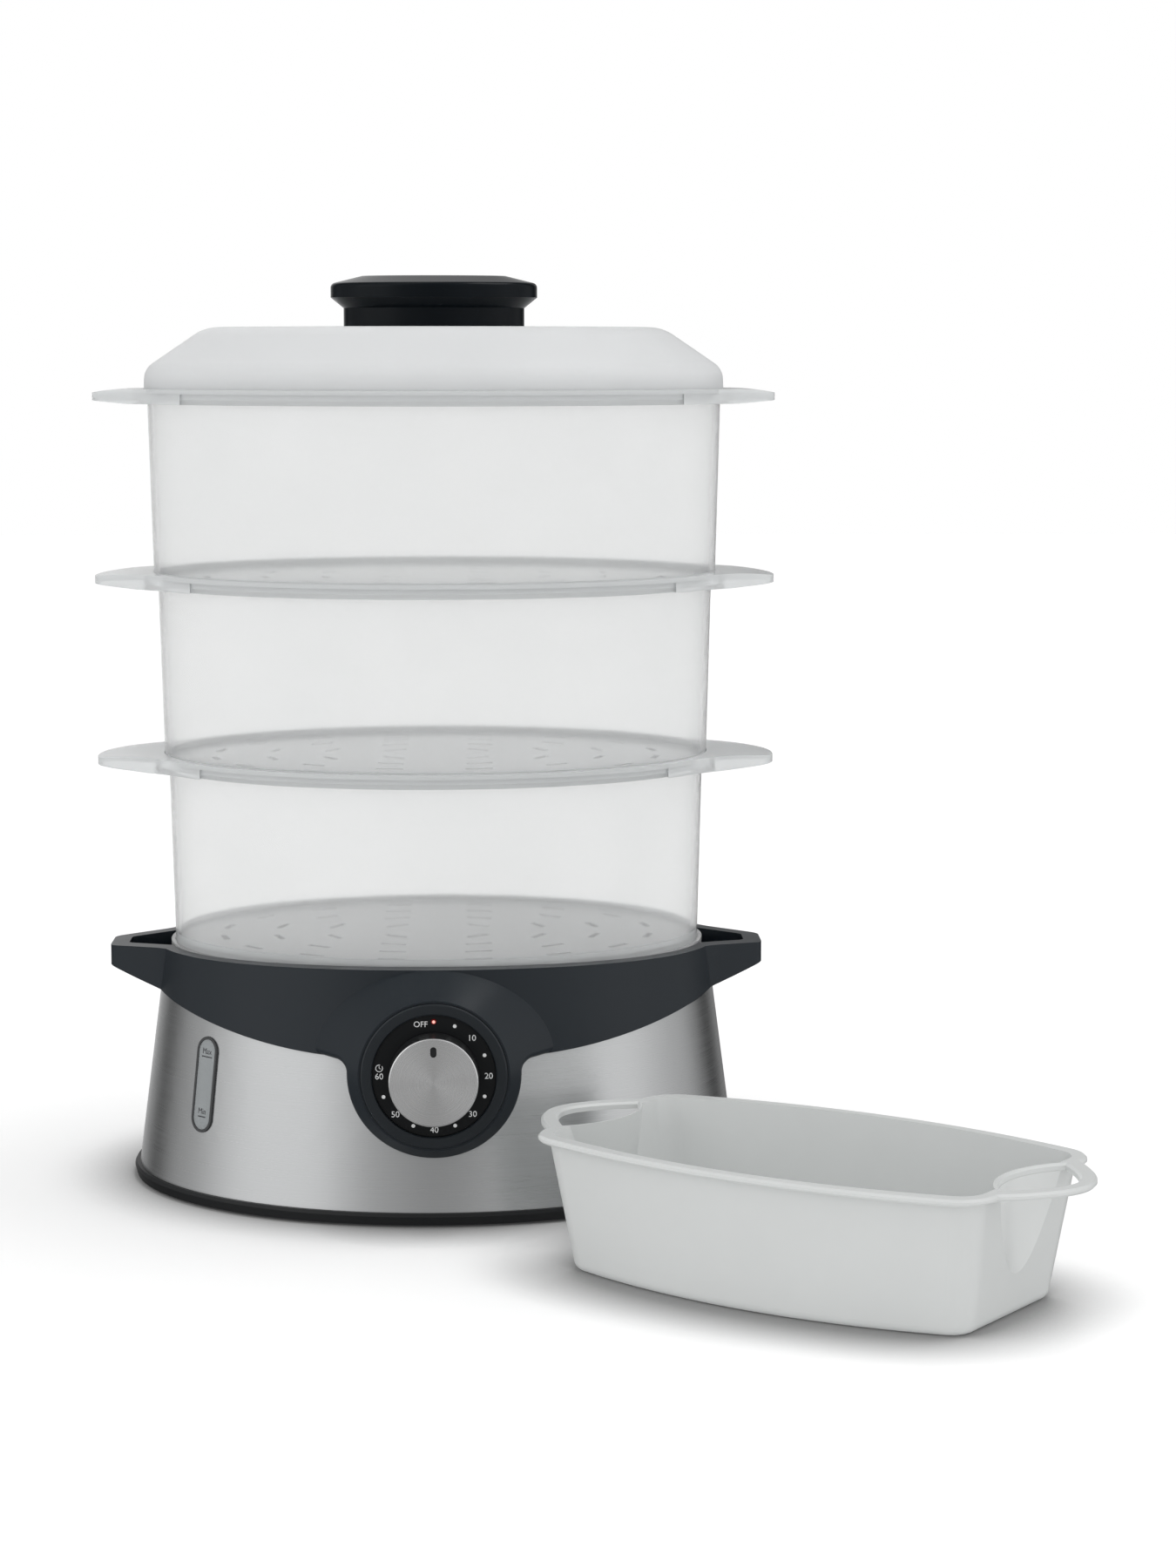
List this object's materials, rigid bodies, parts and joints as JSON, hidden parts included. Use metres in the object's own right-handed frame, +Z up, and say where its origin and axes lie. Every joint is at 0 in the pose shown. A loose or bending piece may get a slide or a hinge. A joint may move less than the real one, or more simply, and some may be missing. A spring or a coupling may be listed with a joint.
{
  "type": "electric food steamer",
  "caption": "Oval tiered electric food steamer: steel-clad water base with a clockwork timer dial, clear stacking trays with wings, frosted lid and a separate rice bowl.",
  "frame": {"origin": "on the table, in the middle of the oval base, where the stack's upright axis meets it", "axes": "+Z up; -Y towards the user, the side with the timer knob; +X to the user's right"},
  "size_m": [0.44, 0.4541, 0.433],
  "materials": {
    "black_base": "satin black moulded polypropylene",
    "rubber": "matte black rubber",
    "zinc_steel": "zinc plated steel",
    "brushed_steel": "vertically reflecting brushed stainless sheet",
    "black_satin": "satin charcoal moulded plastic",
    "cast_boiler": "cast aluminium with a sheathed element",
    "silicone": "red silicone",
    "bell_steel": "plated bell",
    "black_gloss": "gloss black",
    "dial_black": "matte black with white marks",
    "red_lens": "clear red lens",
    "lamp_glass": "glass lamp",
    "window_seal": "dark gasket",
    "window_clear": "smoked clear window",
    "terminal_white": "white nylon",
    "spun_aluminium": "spun face with circular grain",
    "tray_clear": "clear slightly frosted polypropylene",
    "lid_frosted": "milky frosted polypropylene",
    "handle_gloss": "gloss black",
    "bowl_white": "white polypropylene, soft sheen"
  },
  "bodies": {
    "base": {"foot_ring": "black_base", "bottom_cover": "black_base", "rubber_feet": "rubber", "bottom_screws": "zinc_steel", "steel_shell": "brushed_steel", "top_cover": "black_satin", "reservoir": "black_base", "heating_element": "cast_boiler", "heater_seal": "silicone", "heater_clamp": "zinc_steel", "heater_nuts": "zinc_steel", "thermostat": "black_base", "thermal_fuse": "zinc_steel", "timer_body": "zinc_steel", "timer_screws": "zinc_steel", "timer_bell": "bell_steel", "dial_bezel": "black_gloss", "dial_plate": "dial_black", "lamp_lens": "red_lens", "neon_lamp": "lamp_glass", "window_seal": "window_seal", "water_window": "window_clear", "cord_bush": "rubber", "terminal_block": "terminal_white"},
    "knob": {"timer_shaft": "zinc_steel", "knob_core": "black_base", "knob_cap": "spun_aluminium"},
    "steam_ring": {"steam_ring": "tray_clear"},
    "drip_tray": {"drip_tray": "tray_clear"},
    "tray_bottom": {"tray_bottom": "tray_clear"},
    "tray_middle": {"tray_middle": "tray_clear"},
    "tray_top": {"tray_top": "tray_clear"},
    "lid": {"lid": "lid_frosted", "lid_handle": "handle_gloss", "handle_screws": "zinc_steel"},
    "rice_bowl": {"rice_bowl": "bowl_white"}
  },
  "joints": [
    {"name": "timer_turn", "type": "hinge", "parent": "base", "child": "knob", "pos_m": [0, -0.13, 0.0715], "axis": [0, 1, 0], "range_deg": [0, 270]},
    {"name": "steam_ring_lift", "type": "slide", "parent": "base", "child": "steam_ring", "axis": [0, 0, 1], "range_m": [0, 0.028]},
    {"name": "drip_tray_lift", "type": "slide", "parent": "base", "child": "drip_tray", "axis": [0, 0, 1], "range_m": [0, 0.08]},
    {"name": "tray_bottom_lift", "type": "slide", "parent": "drip_tray", "child": "tray_bottom", "axis": [0, 0, 1], "range_m": [0, 0.12]},
    {"name": "tray_middle_lift", "type": "slide", "parent": "tray_bottom", "child": "tray_middle", "axis": [0, 0, 1], "range_m": [0, 0.12]},
    {"name": "tray_top_lift", "type": "slide", "parent": "tray_middle", "child": "tray_top", "axis": [0, 0, 1], "range_m": [0, 0.12]},
    {"name": "lid_lift", "type": "slide", "parent": "tray_top", "child": "lid", "axis": [0, 0, 1], "range_m": [0, 0.12]},
    {"name": "rice_bowl_lift", "type": "slide", "parent": "base", "child": "rice_bowl", "axis": [0, 0, 1], "range_m": [0, 0.12]}
  ]
}
